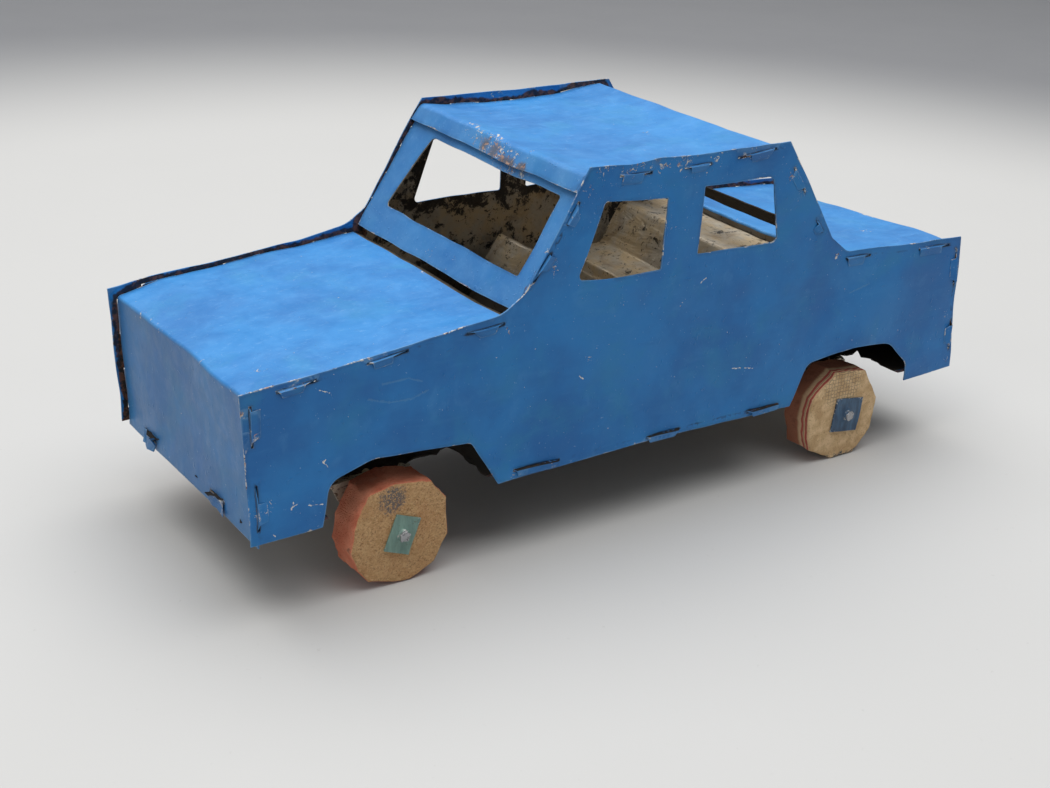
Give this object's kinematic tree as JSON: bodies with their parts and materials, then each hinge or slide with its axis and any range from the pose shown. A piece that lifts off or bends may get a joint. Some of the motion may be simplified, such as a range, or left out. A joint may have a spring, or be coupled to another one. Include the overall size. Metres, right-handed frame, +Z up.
{
  "type": "toy car",
  "caption": "Hand-made toy saloon car: folded painted tin body with open windows, tin seats, wire axles and wheels cut from shoe sole.",
  "frame": {"origin": "on the ground, under the middle of the car", "axes": "+X towards the nose, +Y to the car's left, +Z up"},
  "size_m": [0.267, 0.0922, 0.1137],
  "materials": {
    "blue_paint": "hand-brushed blue enamel over tin, streaked and chipped",
    "bare_tin": "bare tinplate, dull, stained and spotted",
    "axle_wire": "steel wire, ends peened",
    "sole_red": "red sole rubber with a tan crumb face",
    "sole_layered": "layered tan and red sole rubber",
    "washer_green": "green painted tin, worn",
    "washer_blue": "dark blue painted tin, worn"
  },
  "bodies": {
    "body_shell": {"side_panel_left": "blue_paint", "side_panel_right": "blue_paint", "hood_and_nose": "blue_paint", "trunk_and_tail": "blue_paint", "roof": "blue_paint", "windshield_frame": "blue_paint", "rear_window_frame": "blue_paint", "floor_pan": "blue_paint", "seat_sheet": "bare_tin", "front_hanger": "bare_tin", "rear_hanger": "bare_tin"},
    "front_axle": {"front_axle": "axle_wire", "front_left_outer_washer": "washer_green", "front_left_inner_washer": "bare_tin", "front_right_outer_washer": "washer_green", "front_right_inner_washer": "bare_tin"},
    "front_left_wheel": {"front_left_wheel": "sole_red"},
    "front_right_wheel": {"front_right_wheel": "sole_red"},
    "rear_axle": {"rear_axle": "axle_wire", "rear_left_outer_washer": "washer_blue", "rear_left_inner_washer": "bare_tin", "rear_right_outer_washer": "washer_blue", "rear_right_inner_washer": "bare_tin"},
    "rear_left_wheel": {"rear_left_wheel": "sole_layered"},
    "rear_right_wheel": {"rear_right_wheel": "sole_layered"}
  },
  "joints": [
    {"name": "front_axle_spin", "type": "hinge", "parent": "body_shell", "child": "front_axle", "pos_m": [0.085, 0, 0.0155], "axis": [0, 1, 0], "continuous": true},
    {"name": "front_left_wheel_spin", "type": "hinge", "parent": "front_axle", "child": "front_left_wheel", "pos_m": [0.085, 0.03825, 0.0155], "axis": [0, 1, 0], "continuous": true},
    {"name": "front_right_wheel_spin", "type": "hinge", "parent": "front_axle", "child": "front_right_wheel", "pos_m": [0.085, -0.03825, 0.0155], "axis": [0, 1, 0], "continuous": true},
    {"name": "rear_axle_spin", "type": "hinge", "parent": "body_shell", "child": "rear_axle", "pos_m": [-0.0865, 0, 0.0155], "axis": [0, 1, 0], "continuous": true},
    {"name": "rear_left_wheel_spin", "type": "hinge", "parent": "rear_axle", "child": "rear_left_wheel", "pos_m": [-0.0865, 0.03825, 0.0155], "axis": [0, 1, 0], "continuous": true},
    {"name": "rear_right_wheel_spin", "type": "hinge", "parent": "rear_axle", "child": "rear_right_wheel", "pos_m": [-0.0865, -0.03825, 0.0155], "axis": [0, 1, 0], "continuous": true}
  ]
}
